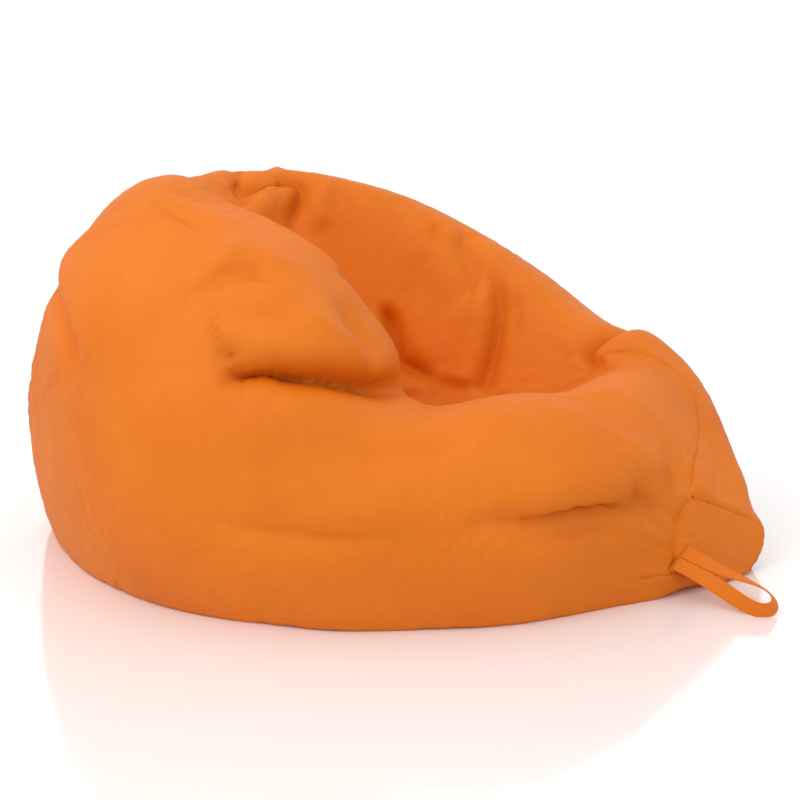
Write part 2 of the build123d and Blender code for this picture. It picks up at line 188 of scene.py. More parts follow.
def section(values, v):
    """Points of the section for v from 0 to 8: left side, seat, right side and underside."""
    (keel, contact_l, bulge_l, bulge_lz, rim_l, rim_lz, seat_l, seat_z, seat_r, rim_r, rim_rz,
     bulge_r, bulge_rz, contact_r) = np.moveaxis(values, -1, 0)
    left = half_section(np.clip(v, 0, 3), keel, contact_l, bulge_l, bulge_lz, rim_l, rim_lz, seat_l, seat_z)
    right = half_section(np.clip(7 - v, 0, 3), keel, contact_r, bulge_r, bulge_rz, rim_r, rim_rz,
                         seat_r, seat_z)
    across, under = np.clip(v - 3, 0, 1), np.clip(v - 7, 0, 1)
    where = np.searchsorted([3, 4, 7], v, side="right") + np.zeros(v.shape, int)
    x = np.choose(where, [left[0], seat_l + (seat_r - seat_l) * across, right[0],
                          contact_r + (contact_l - contact_r) * under])
    z = np.choose(where, [left[1], seat_z + 0 * across, right[1], keel + 0 * under])
    return x, z


def row_offsets():
    """Where the rows cross the middle of the bag, closer together where the skin is steep."""
    y = np.linspace(-1, 1, 400)
    y = np.interp(y, [-1, 1], [CAP_CENTRE[1], BASE_CENTRE[1]])
    density = (1 + 1.1 * np.exp(-((y - 0.2) / 0.1) ** 2) + 1.3 * smooth(y, 0.42, 0.55)
               + 0.8 * (1 - smooth(y, -0.56, -0.4)))
    total = np.concatenate([[0], np.cumsum((density[1:] + density[:-1]) / 2)])
    return np.interp(np.linspace(0, total[-1], ROWS), total, y)


def dense_rows(samples=960):
    """Each row as a closed loop of many points, pressed flat on the floor.

    Rows turn from the small end's plane through upright sections to the big end's plane."""
    loft = Spline([s[0] / 1000 for s in STATIONS], np.array([s[1:] for s in STATIONS]) / 1000)
    y0 = row_offsets()[:, None]
    towards_cap = 1 - smooth(y0, CAP_CENTRE[1], CAP_CENTRE[1] + 0.34)
    towards_base = smooth(y0, BASE_CENTRE[1] - 0.22, BASE_CENTRE[1])
    v = np.broadcast_to(np.linspace(0, 8, samples, endpoint=False), (ROWS, samples))
    y = np.broadcast_to(y0, v.shape)
    for _ in range(12):
        x, z = section(loft(y), v)
        lean_cap = -(CAP_NORMAL[0] * (x - CAP_CENTRE[0])
                     + CAP_NORMAL[2] * (z - CAP_CENTRE[2])) / CAP_NORMAL[1]
        lean_base = -BASE_NORMAL[2] * (z - BASE_CENTRE[2]) / BASE_NORMAL[1]
        y = 0.4 * y + 0.6 * (y0 + towards_cap * lean_cap + towards_base * lean_base)
    x, z = section(loft(y), v)
    return np.stack([x, y, np.maximum(z, 0)], axis=-1)


def seam_crossings(loop):
    """The six places, as fractional indices into a loop, where the seams cross it."""
    x, y, z = loop.T
    n = len(loop)
    arc = n // 8
    top, left = slice(arc, 6 * arc), slice(0, 2 * arc)
    floor, right = slice(7 * arc, n), slice(5 * arc, 7 * arc)

    def crossing(value, part, last=False):
        values = value[part]
        found = np.nonzero(np.sign(values[:-1]) != np.sign(values[1:]))[0]
        i = found[-1 if last else 0]
        return part.start + i + values[i] / (values[i] - values[i + 1])

    def curve(points):
        return Spline(*np.array(points).T)(y)

    return [
        crossing(x - curve(TOP_SEAM), top),
        crossing(z - LOW_SEAM, left),
        crossing(x - curve(FLOOR_SEAM_LEFT), floor),
        crossing(x - curve(FLOOR_SEAM_RIGHT), floor),
        crossing(z - LOW_SEAM, right, last=True),
        crossing(z - curve(RIGHT_SEAM), right),
    ]


def spread(count):
    """Even steps from 0 to 1, closer together at both ends, where the seams are."""
    t = np.linspace(0, 1, count + 1)
    return t - 0.10 * np.sin(2 * pi * t) * (1 - 0.35 * np.abs(np.cos(2 * pi * t)))


def skin_grid():
    """The whole skin as an array of rows by columns by xyz, and the column of each seam."""
    seams = np.cumsum([0] + [count for _, count in GORES])
    rows = []
    for loop in dense_rows():
        n = len(loop)
        crossings = seam_crossings(loop)
        closed = np.concatenate([loop] * 3)
        length = np.concatenate([[0], np.cumsum(np.linalg.norm(np.diff(closed, axis=0), axis=1))])
        # columns run from the top seam down the left side, which is backwards along the loop
        marks = [crossings[0] + n]
        for c in crossings[1:]:
            c += n
            while c > marks[-1]:
                c -= n
            marks.append(c)
        marks.append(crossings[0])
        at = np.interp(marks, np.arange(len(closed)), length)
        picks = [a + (b - a) * spread(count)[:-1] for a, b, (_, count) in zip(at[:-1], at[1:], GORES)]
        picks = np.concatenate(picks)
        rows.append(np.stack([np.interp(picks, length, closed[:, k]) for k in range(3)], axis=-1))
    return np.array(rows), seams


def unit(vectors):
    return vectors / np.maximum(np.linalg.norm(vectors, axis=-1, keepdims=True), 1e-12)


def arc_lengths(points, axis):
    """How far each point is along its own line of the grid."""
    steps = np.linalg.norm(np.diff(points, axis=axis), axis=-1)
    return np.insert(np.cumsum(steps, axis=axis), 0, 0, axis=axis)


def grid_normals(points):
    """Outward normals of the skin grid, which is closed across its columns."""
    along = np.gradient(points, axis=0)
    around = np.roll(points, -1, axis=1) - np.roll(points, 1, axis=1)
    return unit(np.cross(along, around))


def grid_mesh(name, points, closed=False, flip=False):
    """A mesh of quads from rows by columns of points, with the weave's UV map in metres."""
    rows, columns = points.shape[:2]
    index = np.arange(rows * columns).reshape(rows, columns)
    if closed:
        index = np.concatenate([index, index[:, :1]], axis=1)
    corners = [index[:-1, :-1], index[1:, :-1], index[1:, 1:], index[:-1, 1:]]
    faces = np.stack(corners[::-1] if flip else corners, axis=-1).reshape(-1, 4)
    mesh = bpy.data.meshes.new(name)
    mesh.from_pydata(points.reshape(-1, 3).tolist(), [], faces.tolist())
    weave = np.stack([arc_lengths(points, 1), arc_lengths(points, 0)], axis=-1).reshape(-1, 2)
    mesh.uv_layers.new(name=WEAVE_MAP).data.foreach_set("uv", weave[faces.ravel()].ravel())
    mesh.shade_smooth()
    return mesh


# ---- folds and creases ----

# Lines near the skin, laid out from the middle of the seat. Depth is how far the valley goes in,
# and width is its reach. The lip is the roll that stands up on one side of the line, lean is how
# far the roll hangs over the valley, and roll is 1 where that side is to the left of the line,
# looking along it from outside, or -1 for the right. Ends are the parts over which it fades.
FOLDS = [
    # the lobe's crest sits a little lower than the frame's
    dict(line=[(-0.205, 0.330, 0.640), (-0.215, 0.208, 0.625), (-0.235, 0.128, 0.603),
               (-0.240, 0.057, 0.578), (-0.235, -0.010, 0.540), (-0.225, -0.060, 0.480),
               (-0.235, -0.110, 0.390)],
         depth=0.014, width=0.085, sharp=2.2, ends=(0.25, 0.25)),
    # the deep fold under the left lobe, which runs on into the seat
    dict(line=[(-0.487, 0.035, 0.388), (-0.46, -0.025, 0.398), (-0.42, -0.068, 0.396),
               (-0.354, -0.106, 0.376), (-0.28, -0.128, 0.352), (-0.215, -0.130, 0.335),
               (-0.150, -0.110, 0.290)],
         depth=0.042, width=0.018, lip=0.018, lean=0.030, lip_width=0.065, roll=1, ends=(0.10, 0.40)),
    dict(line=[(-0.502, 0.017, 0.359), (-0.487, -0.025, 0.355), (-0.452, -0.073, 0.357)],
         depth=0.005, width=0.012, lip=0.003, roll=1),
    dict(line=[(-0.489, 0.053, 0.408), (-0.470, 0.022, 0.421), (-0.449, -0.009, 0.430)],
         depth=0.006, width=0.012, lip=0.004, roll=1),
    # creases over the lobe
    dict(line=[(-0.439, 0.127, 0.503), (-0.422, 0.082, 0.507), (-0.405, 0.047, 0.507)],
         depth=0.009, width=0.010, lip=0.003, roll=1, ends=(0.4, 0.4)),
    dict(line=[(-0.432, 0.040, 0.470), (-0.412, -0.010, 0.462), (-0.388, -0.048, 0.447)],
         depth=0.009, width=0.011, lip=0.004, roll=1, ends=(0.4, 0.4)),
    dict(line=[(-0.300, 0.300, 0.615), (-0.330, 0.200, 0.590), (-0.345, 0.120, 0.570)],
         depth=0.007, width=0.014, lip=0.003, roll=1, ends=(0.4, 0.5)),
    dict(line=[(-0.414, 0.126, 0.527), (-0.394, 0.083, 0.531), (-0.373, 0.040, 0.528),
               (-0.348, -0.028, 0.498)],
         depth=0.012, width=0.014, lip=0.006, roll=1, ends=(0.35, 0.4)),
    dict(line=[(-0.383, -0.016, 0.487), (-0.369, -0.055, 0.454), (-0.346, -0.081, 0.425),
               (-0.313, -0.117, 0.369)],
         depth=-0.009, width=0.020, roll=1, ends=(0.3, 0.2)),
    dict(line=[(-0.325, -0.050, 0.480), (-0.298, -0.083, 0.437), (-0.286, -0.108, 0.389),
               (-0.289, -0.122, 0.363)],
         depth=0.013, width=0.032, sharp=1.8, ends=(0.4, 0.3)),
    dict(line=[(-0.223, -0.024, 0.531), (-0.205, -0.036, 0.505), (-0.196, -0.060, 0.455)],
         depth=0.008, width=0.012, lip=0.004, roll=-1),
    # the fold down the left of the big end, with the end's own bulge behind it
    dict(line=[(-0.300, 0.480, 0.490), (-0.375, 0.439, 0.460), (-0.431, 0.378, 0.430),
               (-0.473, 0.324, 0.384), (-0.487, 0.312, 0.335)],
         depth=0.024, width=0.018, lip=0.012, lean=0.016, lip_width=0.055, roll=1, ends=(0.15, 0.3)),
    # the long folds in the left flank, from the corner of the small end
    dict(line=[(-0.050, -0.528, 0.162), (-0.090, -0.506, 0.168), (-0.134, -0.480, 0.173),
               (-0.201, -0.442, 0.175), (-0.267, -0.403, 0.174), (-0.322, -0.362, 0.177),
               (-0.359, -0.322, 0.169), (-0.385, -0.285, 0.155)],
         depth=0.019, width=0.018, lip=0.012, lean=0.007, lip_width=0.045, roll=-1, ends=(0.10, 0.5)),
    dict(line=[(-0.090, -0.505, 0.135), (-0.144, -0.479, 0.142), (-0.210, -0.440, 0.141),
               (-0.273, -0.402, 0.141), (-0.337, -0.350, 0.141)],
         depth=0.007, width=0.020, lip=0.004, roll=-1, ends=(0.3, 0.5)),
    dict(line=[(-0.500, 0.080, 0.180), (-0.470, -0.080, 0.165), (-0.420, -0.200, 0.160),
               (-0.380, -0.270, 0.165)],
         depth=0.006, width=0.022, lip=0.003, roll=-1, ends=(0.5, 0.4)),
    dict(line=[(-0.450, -0.120, 0.300), (-0.390, -0.230, 0.290), (-0.300, -0.320, 0.290)],
         depth=0.005, width=0.018, lip=0.003, roll=1, ends=(0.5, 0.5)),
    # valleys down the right wall of the seat
    dict(line=[(0.268, -0.040, 0.470), (0.243, -0.059, 0.425), (0.220, -0.075, 0.368),
               (0.197, -0.080, 0.312), (0.160, -0.070, 0.235)],
         depth=0.022, width=0.017, lip=0.012, lean=0.008, roll=-1, ends=(0.35, 0.1)),
    dict(line=[(0.315, 0.035, 0.530), (0.265, 0.006, 0.492), (0.230, -0.018, 0.423),
               (0.212, -0.006, 0.387), (0.198, 0.003, 0.351)],
         depth=0.015, width=0.022, lip=0.005, roll=-1, ends=(0.25, 0.4)),
    dict(line=[(0.253, 0.077, 0.532), (0.244, 0.061, 0.509), (0.236, 0.043, 0.483)],
         depth=0.009, width=0.010, lip=0.003, roll=1, ends=(0.3, 0.4)),
    dict(line=[(0.263, -0.105, 0.426), (0.226, -0.114, 0.367), (0.202, -0.112, 0.315)],
         depth=0.008, width=0.018, roll=1, ends=(0.4, 0.4)),
    dict(line=[(0.163, 0.135, 0.385), (0.157, 0.108, 0.317), (0.152, 0.088, 0.278),
               (0.158, 0.046, 0.260), (0.156, 0.019, 0.241)],
         depth=0.026, width=0.015, lip=0.010, lean=0.006, roll=-1, ends=(0.2, 0.3)),
    # the dip where the right arm meets the foot end
    dict(line=[(0.195, -0.262, 0.305), (0.218, -0.278, 0.333), (0.234, -0.294, 0.347),
               (0.267, -0.313, 0.354), (0.320, -0.330, 0.350)],
         depth=0.024, width=0.016, lip=0.014, lean=0.010, roll=-1, ends=(0.15, 0.4)),
    # pleats at the top of the backrest
    dict(line=[(-0.020, 0.310, 0.640), (0.060, 0.310, 0.625), (0.138, 0.299, 0.598),
               (0.125, 0.293, 0.573), (0.108, 0.291, 0.541), (0.085, 0.270, 0.490)],
         depth=0.022, width=0.014, lip=0.009, lean=0.005, roll=-1, ends=(0.2, 0.3)),
    dict(line=[(0.090, 0.405, 0.628), (0.042, 0.357, 0.606), (-0.010, 0.290, 0.575)],
         depth=0.015, width=0.014, lip=0.006, roll=1, ends=(0.1, 0.3)),
    dict(line=[(0.171, 0.362, 0.622), (0.100, 0.339, 0.596), (0.020, 0.290, 0.560)],
         depth=-0.010, width=0.013, ends=(0.1, 0.4)),
    dict(line=[(0.180, 0.262, 0.605), (0.151, 0.252, 0.566), (0.130, 0.246, 0.510)],
         depth=-0.006, width=0.014, ends=(0.2, 0.4)),
    dict(line=[(0.238, 0.164, 0.579), (0.242, 0.135, 0.565), (0.248, 0.106, 0.549)],
         depth=0.006, width=0.010, roll=1, ends=(0.3, 0.3)),
    # long soft creases on the unseen right flank and back
    dict(line=[(0.300, -0.470, 0.150), (0.380, -0.380, 0.170), (0.450, -0.260, 0.160)],
         depth=0.014, width=0.024, lip=0.008, roll=1, ends=(0.3, 0.5)),
    dict(line=[(0.470, 0.020, 0.330), (0.455, 0.120, 0.350), (0.420, 0.230, 0.345)],
         depth=0.008, width=0.026, lip=0.004, roll=1, ends=(0.5, 0.5)),
    dict(line=[(0.330, 0.420, 0.400), (0.390, 0.330, 0.370), (0.430, 0.250, 0.300)],
         depth=0.010, width=0.026, lip=0.005, roll=1, ends=(0.4, 0.5)),
    dict(line=[(-0.180, 0.540, 0.480), (-0.150, 0.470, 0.570), (-0.120, 0.400, 0.615)],
         depth=0.012, width=0.020, lip=0.006, roll=1, ends=(0.2, 0.5)),
    dict(line=[(0.080, 0.530, 0.500), (0.090, 0.470, 0.560), (0.085, 0.420, 0.610)],
         depth=0.012, width=0.020, lip=0.006, roll=-1, ends=(0.2, 0.4)),
]


def fold(skin, line, depth, width, lip=0.0, lean=0.0, lip_width=0.040, roll=1, ends=(0.3, 0.3),
         sharp=1.25):
    """Press a valley into the skin along a line, with a roll of cloth beside it."""
    depth, lip = FOLD_GAIN * depth, FOLD_GAIN * lip
    flat = skin.reshape(-1, 3)
    line = np.array([flat[np.argmin(np.sum((flat - p) ** 2, axis=1))] for p in np.array(line)])
    at = arc_lengths(line, 0)
    track = Spline(at, line)(np.linspace(0, at[-1], 50))
    along = unit(np.gradient(track, axis=0))
    reach = 4 * max(width, lip_width if lip else 0)
    near = np.all((flat > track.min(axis=0) - reach) & (flat < track.max(axis=0) + reach), axis=1)
    points, normals = flat[near], grid_normals(skin).reshape(-1, 3)[near]
    away = points[:, None] - track[None]
    nearest = np.argmin(np.sum(away ** 2, axis=-1), axis=1)
    offset = points - track[nearest]
    distance = np.linalg.norm(offset, axis=1)[:, None]
    side = roll * unit(np.cross(normals, along[nearest]))
    rolled = np.sum(offset * side, axis=1)[:, None] > 0
    part = nearest[:, None] / (len(track) - 1)
    strength = smooth(part, 0, ends[0]) * (1 - smooth(part, 1 - ends[1], 1))
    valley = depth * np.exp(-(distance / width) ** sharp)
    swell = distance / lip_width * np.exp((1 - (distance / lip_width) ** 2) / 2)
    raised = np.where(rolled, 1.0, 0.35) * lip * swell - valley
    hang = np.where(rolled, lean * swell, 0.3 * lean * swell)
    moved = flat.copy()
    moved[near] += strength * (raised * normals - hang * side)
    return moved.reshape(skin.shape)


# ---- cloth ----

def closed_object(name, skin):
    """The skin as one closed mesh object, with a fan over each end."""
    mesh = grid_mesh(name, skin, closed=True)
    shell = bmesh.new()
    shell.from_mesh(mesh)
    bmesh.ops.holes_fill(shell, edges=[e for e in shell.edges if e.is_boundary])
    shell.to_mesh(mesh)
    shell.free()
    piece = bpy.data.objects.new(name, mesh)
    bpy.context.scene.collection.objects.link(piece)
    return piece


def mesh_points(mesh):
    points = np.empty(3 * len(mesh.vertices))
    mesh.vertices.foreach_get("co", points)
    return points.reshape(-1, 3)


def relax(skin):
    """Let the skin settle as slightly loose cloth over the fill, and return the moved grid."""
    rough = closed_object("cloth_rough", skin)
    remesh = rough.modifiers.new("remesh", "REMESH")
    remesh.mode, remesh.voxel_size = "VOXEL", CLOTH_VOXEL
    even = bpy.data.meshes.new_from_object(rough.evaluated_get(bpy.context.evaluated_depsgraph_get()))
    cloth = bpy.data.objects.new("cloth", even)
    bpy.context.scene.collection.objects.link(cloth)
    before = mesh_points(even)
    held = cloth.vertex_groups.new(name="held")
    held.add(list(range(len(before))), CLOTH_HOLD, "REPLACE")
    settings = cloth.modifiers.new("cloth", "CLOTH").settings
    settings.quality, settings.mass = 6, 0.25
    settings.tension_stiffness = settings.compression_stiffness = 18
    settings.shear_stiffness, settings.bending_stiffness = 6, 0.35
    settings.use_pressure, settings.uniform_pressure_force = True, CLOTH_PRESSURE
    settings.shrink_min = CLOTH_GROWTH
    settings.effector_weights.gravity = 0
    settings.vertex_group_mass, settings.pin_stiffness = "held", 0.6
    for step in range(1, CLOTH_STEPS + 1):
        bpy.context.scene.frame_set(step)
    settled = cloth.evaluated_get(bpy.context.evaluated_depsgraph_get()).to_mesh()
    moves = mesh_points(settled) - before
    bpy.context.scene.frame_set(1)
    for piece in (cloth, rough):
        bpy.data.objects.remove(piece)
    length = np.linalg.norm(moves, axis=1, keepdims=True)
    print("cloth", len(before), "points, median", np.median(length), "most", length.max())
    moves *= CLOTH_LIMIT * np.tanh(length / CLOTH_LIMIT) / np.maximum(length, 1e-9)
    tree = kdtree.KDTree(len(before))
    for i, point in enumerate(before):
        tree.insert(point, i)
    tree.balance()
    moved = skin.copy()
    for point in moved.reshape(-1, 3):
        found = tree.find_n(point, 4)
        weights = np.array([1 / (f[2] ** 2 + 1e-6) for f in found])
        point += weights @ moves[[f[1] for f in found]] / weights.sum()
    return moved


# ---- seams ----

def straighten_cap(skin, seams):
    """Draw the small end's ring into straight sides between the seams."""
    ring, fade = skin[0].copy(), 1 - smooth(arc_lengths(skin, 0), 0, CAP_BLEND)
    for start, end in zip(seams[:-1], seams[1:]):
        side = ring[start:end + 1] if end < len(ring) else np.concatenate([ring[start:], ring[:1]])
        length = arc_lengths(side, 0)
        chord = side[0] + (side[-1] - side[0]) * (length / length[-1])[:, None]
        skin[:, start:end] += fade[:, start:end, None] * CAP_SQUARENESS * (chord - side)[:-1]
    return skin


def draw_in_seams(skin, seams):
    """A narrow groove along every seam, with puckers that die out beside it."""
    normals = grid_normals(skin)
    around, along = arc_lengths(skin, 1), arc_lengths(skin, 0)
    girth = around[:, -1:] + np.linalg.norm(skin[:, 0] - skin[:, -1], axis=-1)[:, None]
    lift = np.zeros(skin.shape[:2])

    def seam(distance, travel, phase):
        wave = np.cos(2 * pi * travel / PUCKER_LENGTH + 1.8 * np.sin(2 * pi * travel / 0.19 + phase) + phase)
        strength = 0.6 + 0.4 * np.sin(2 * pi * travel / 0.31 + 2 * phase)
        return (-SEAM_DEPTH * np.exp(-(distance / SEAM_WIDTH) ** 2)
                + PUCKER_HEIGHT * strength * wave * np.exp(-distance / PUCKER_REACH))

    for k, column in enumerate(seams[:-1]):
        distance = np.abs(around - around[:, column:column + 1])
        shown = 1 - smooth(along[:, column:column + 1], 0.03, 0.12) if k in LOW_SEAMS else 1.0
        lift += shown * seam(np.minimum(distance, girth - distance), along[:, column:column + 1], 1.7 * k)
    lift += seam(along, around, 0.9)
    lift += seam(along[-1] - along, around, 2.3)
    sunk = CAP_SEAM_DEPTH * np.exp(-(along / 0.006) ** 2)
    return skin + lift[..., None] * normals - sunk[..., None] * (CAP_NORMAL + 0.7 * normals)


# ---- pieces ----

def piece_from(mesh, body, material, nodes=()):
    """Put a mesh in the scene as a piece of the object."""
    mesh.materials.append(material)
    piece = bpy.data.objects.new(mesh.name, mesh)
    bpy.context.scene.collection.objects.link(piece)
    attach(piece, body)
    if nodes:
        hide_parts(*nodes)
    return piece


def cap_panel(ring, flat_ring):
    """The small end: rings that shrink to its middle, and dip into the seam round its edge."""
    middle = flat_ring.mean(axis=0)
    inwards = np.concatenate([[0, 0.03, 0.07], np.linspace(0.12, 0.96, 18)])[:, None, None]
    points = flat_ring + (middle - flat_ring) * inwards
    points += (1 - smooth(inwards, 0, 0.10)) * (ring - flat_ring)
    points += 0.0006 * np.sin(40 * points[..., :1]) * CAP_NORMAL
    points[..., 2] = np.maximum(points[..., 2], 0)
    mesh = grid_mesh("small_end_panel", points + ROW_SHIFT, closed=True, flip=True)
    shell = bmesh.new()
    shell.from_mesh(mesh)
    centre = Vector(middle + ROW_SHIFT)
    inner = [e for e in shell.edges if e.is_boundary and (e.verts[0].co - centre).length < 0.02]
    bmesh.ops.holes_fill(shell, edges=inner)
    shell.to_mesh(mesh)
    shell.free()
    return mesh


def base_panel(name, ring, side):
    """Half of the big end, ruled from the zip's edge to the end's seam and filled out a little."""
    at = arc_lengths(ring, 0)
    steps = np.linspace(0, at[-1], 200)
    even = np.stack([np.interp(steps, at, ring[:, k]) for k in range(3)], axis=-1)
    heights = (even[[0, -1]] - BASE_CENTRE) @ BASE_UP
    t = np.linspace(0, 1, 200)
    up = heights[0] + (heights[1] - heights[0]) * t
    open_here = (up > ZIP_WINDOW[0]) & (up < ZIP_WINDOW[1])
    edge_x = side * np.where(open_here, ZIP_HALF_GAP, 0.0002)
    edge = BASE_CENTRE + up[:, None] * BASE_UP + edge_x[:, None] * np.array([1, 0, 0])
    across = np.linspace(0, 1, 40)
    across = across + 0.04 * np.sin(2 * pi * across)
    points = edge + (even - edge) * across[:, None, None]
    width = np.linalg.norm(even - edge, axis=-1)
    crown = BASE_CROWN * np.minimum(width / 0.12, 1) * np.sin(pi * across[:, None]) ** 1.3
    from_seam = width * (1 - across[:, None])
    wave = np.cos(2 * pi * at[-1] * t / PUCKER_LENGTH + 1.5 * np.sin(9 * t))
    crown = crown + PUCKER_HEIGHT * wave * np.exp(-from_seam / PUCKER_REACH) * smooth(width, 0.02, 0.06)
    points = points + crown[..., None] * BASE_NORMAL
    points[..., 2] = np.maximum(points[..., 2], 0)
    return grid_mesh(name, points + ROW_SHIFT, flip=side < 0)


def base_rings(skin):
    """The big end's seam from the top to the bottom of the zip line, down the left and the right."""
    ring = skin[-1]
    halves = []
    for step in (1, -1):
        points = ring if step == 1 else np.roll(ring[::-1], 1, axis=0)
        points = np.roll(points, 60, axis=0)
        cuts = np.nonzero(np.sign(points[:-1, 0]) != np.sign(points[1:, 0]))[0][:2]
        ends = []
        for i in cuts:
            a, b = points[i], points[i + 1]
            ends.append(a + (b - a) * (a[0] / (a[0] - b[0])))
        halves.append(np.concatenate([[ends[0]], points[cuts[0] + 1:cuts[1] + 1], [ends[1]]]))
    return halves


def blurred(values, times):
    """Even out a grid that is closed across its columns, keeping its first and last rows."""
    values = values.copy()
    for _ in range(times):
        values[1:-1] = (2 * values[1:-1] + values[:-2] + values[2:]) / 4
        values = (2 * values + np.roll(values, 1, axis=1) + np.roll(values, -1, axis=1)) / 4
    return values


def inner_layer(name, skin, inset, base_inset, cap_inset, floor):
    """A layer inside the cover: the same skin, evened out, and sunk below its deepest creases."""
    even = blurred(skin, 12)
    normals = grid_normals(even)
    sunk = np.maximum(np.sum((even - skin) * normals, axis=-1), 0)
    for _ in range(4):
        sunk = np.maximum(sunk, np.maximum(np.roll(sunk, 1, axis=1), np.roll(sunk, -1, axis=1)))
        sunk[1:-1] = np.maximum(sunk[1:-1], np.maximum(sunk[:-2], sunk[2:]))
    sunk = blurred(sunk, 3)
    from_cap, from_base = arc_lengths(skin, 0), arc_lengths(skin[::-1], 0)[::-1]
    points = even - (inset + 1.05 * sunk)[..., None] * normals
    points -= ((1 - smooth(from_cap, 0, 0.08)) * cap_inset)[..., None] * CAP_NORMAL
    points -= ((1 - smooth(from_base, 0, 0.10)) * base_inset)[..., None] * BASE_NORMAL
    for fade, end in ((from_cap, 0), (from_base, -1)):
        points += 0.12 * (1 - smooth(fade, 0, 0.06))[..., None] * (points[end].mean(axis=0) - points)
    points = points[np.r_[0:len(points) - 1:2, len(points) - 1], ::2]
    points[..., 2] = np.maximum(points[..., 2], floor)
    mesh = grid_mesh(name, points + ROW_SHIFT, closed=True)
    shell = bmesh.new()
    shell.from_mesh(mesh)
    bmesh.ops.holes_fill(shell, edges=[e for e in shell.edges if e.is_boundary])
    bmesh.ops.triangulate(shell, faces=[f for f in shell.faces if len(f.verts) > 4])
    shell.to_mesh(mesh)
    shell.free()
    return mesh


# ---- handle ----

def handle_frame(along, across, out):
    """Points given along the handle, across it and out of its face, in metres, in the row frame."""
    return (HANDLE_ROOT + along[..., None] * HANDLE_ALONG + across[..., None] * HANDLE_ACROSS
            + out[..., None] * HANDLE_OUT)


def handle_strap():
    """The looped strap: flat where it is sewn on, and turning on edge towards its tip.

    Returns the strap's mesh, and its two edge lines with their outward directions for stitching."""
    half = np.array(STRAP_LINE)
    line = np.concatenate([half, half[-2::-1] * [1, -1]]) / 1000
    at = arc_lengths(np.pad(line, ((0, 0), (0, 1))), 0)
    fine = np.linspace(0, at[-1], 140)
    middle = Spline(at, line)(fine)
    run = unit(np.gradient(middle, axis=0))
    outward = np.stack([-run[:, 1], run[:, 0]], axis=-1)
    if outward[0, 1] * middle[0, 1] < 0:
        outward = -outward
    tilt = -radians(STRAP_TILT) * smooth(middle[:, 0], 0.015, 0.160)
    wide = np.stack([outward[:, 0] * np.cos(tilt), outward[:, 1] * np.cos(tilt), np.sin(tilt)], axis=-1)
    run = np.pad(run, ((0, 0), (0, 1)))
    face = unit(np.cross(run, wide))
    face *= np.sign(face[:1, 2:] + 1e-9)
    centre = np.pad(middle, ((0, 0), (0, 1)))
    centre[:, 2] = 0.0012 * np.sin(fine / at[-1] * 2 * pi)
    across = np.array([0.5, 0.485, 0.42, 0.2, 0, -0.2, -0.42, -0.485,
                       -0.5, -0.485, -0.42, -0.2, 0, 0.2, 0.42, 0.485])
    thick = np.array([0, 0.8, 1, 0.85, 0.8, 0.85, 1, 0.8, 0, -0.8, -1, -0.85, -0.8, -0.85, -1, -0.8])
    points = (centre[:, None] + STRAP_WIDTH * across[:, None] * wide[:, None]
              + STRAP_THICKNESS / 2 * thick[:, None] * face[:, None])
    sewn = middle[:, 0] > 0.012
    edges = [((centre + 0.40 * sign * STRAP_WIDTH * wide + STRAP_THICKNESS * 0.5 * face)[sewn], face[sewn])
             for sign in (1, -1)]
    def place(p):
        return handle_frame(p[..., 0], p[..., 1], p[..., 2])

    def turn(v):
        return place(v) - HANDLE_ROOT

    mesh = grid_mesh("handle_loop", place(points), closed=True)
    return mesh, [(place(line), turn(out)) for line, out in edges]


def stitches(name, lines, length=0.0032, gap=0.0013, radius=0.00042):
    """One mesh of short threads along lines of points, each with its outward directions."""
    verts, faces = [], []
    for line, out in lines:
        at = arc_lengths(line, 0)
        for start in np.arange(gap, at[-1] - length, length + gap):
            here = [np.array([np.interp(start + length * f, at, values[:, k]) for k in range(3)])
                    for f in (0, 0.5, 1) for values in (line, out)]
            (a, up), (m, _), (b, _) = here[0:2], here[2:4], here[4:6]
            up = unit(up)
            side = unit(np.cross(b - a, up))
            first = len(verts)
            for middle, size, rise in ((a, 0.35, 0.0), (m, 1.0, 0.6), (b, 0.35, 0.0)):
                for turn in range(6):
                    angle = turn * pi / 3
                    verts.append(middle + radius * (rise * up + size * (cos(angle) * side + sin(angle) * up)))
            for ring in (0, 6):
                for turn in range(6):
                    i, j = first + ring + turn, first + ring + (turn + 1) % 6
                    faces.append((i, j, j + 6, i + 6))
            faces.append(tuple(first + i for i in range(5, -1, -1)))
            faces.append(tuple(first + 12 + i for i in range(6)))
    mesh = bpy.data.meshes.new(name)
    mesh.from_pydata([tuple(v) for v in verts], [], faces)
    mesh.shade_smooth()
    return mesh


# ---- zip ----

def base_point(across, up, out):
    """A point of the big end's plane, with across towards the bag's -X, in the row frame."""
    return (BASE_CENTRE + ROW_SHIFT - np.multiply.outer(across, np.array([1.0, 0, 0]))
            + np.multiply.outer(up, BASE_UP) + np.multiply.outer(out, BASE_NORMAL))


def zip_coil(name, side):
    """One side of the zip: a wound thread, oval in section, with its noses at the middle."""
    turns = int((COIL_SPAN[1] - COIL_SPAN[0]) / COIL_PITCH)
    angle = np.linspace(0, 2 * pi * turns, 12 * turns)
    up = COIL_SPAN[0] + 0.0006 + (COIL_SPAN[1] - COIL_SPAN[0] - 0.0012) * angle / angle[-1]
    shift = 0.0 if side > 0 else COIL_PITCH / 2
    across = side * (0.0024 - 0.0013 * np.cos(angle))
    out = -0.0024 + 0.0008 * np.sin(angle)
    centre = base_point(across, np.clip(up + shift, *COIL_SPAN), out)
    run = unit(np.gradient(centre, axis=0))
    first = unit(np.cross(run, BASE_UP))
    second = np.cross(run, first)
    spokes = np.linspace(0, 2 * pi, 6, endpoint=False)
    ring = np.cos(spokes)[:, None] * first[:, None] + np.sin(spokes)[:, None] * second[:, None]
    return grid_mesh(name, centre[:, None] + COIL_THREAD * ring, closed=True)


# ---- materials ----

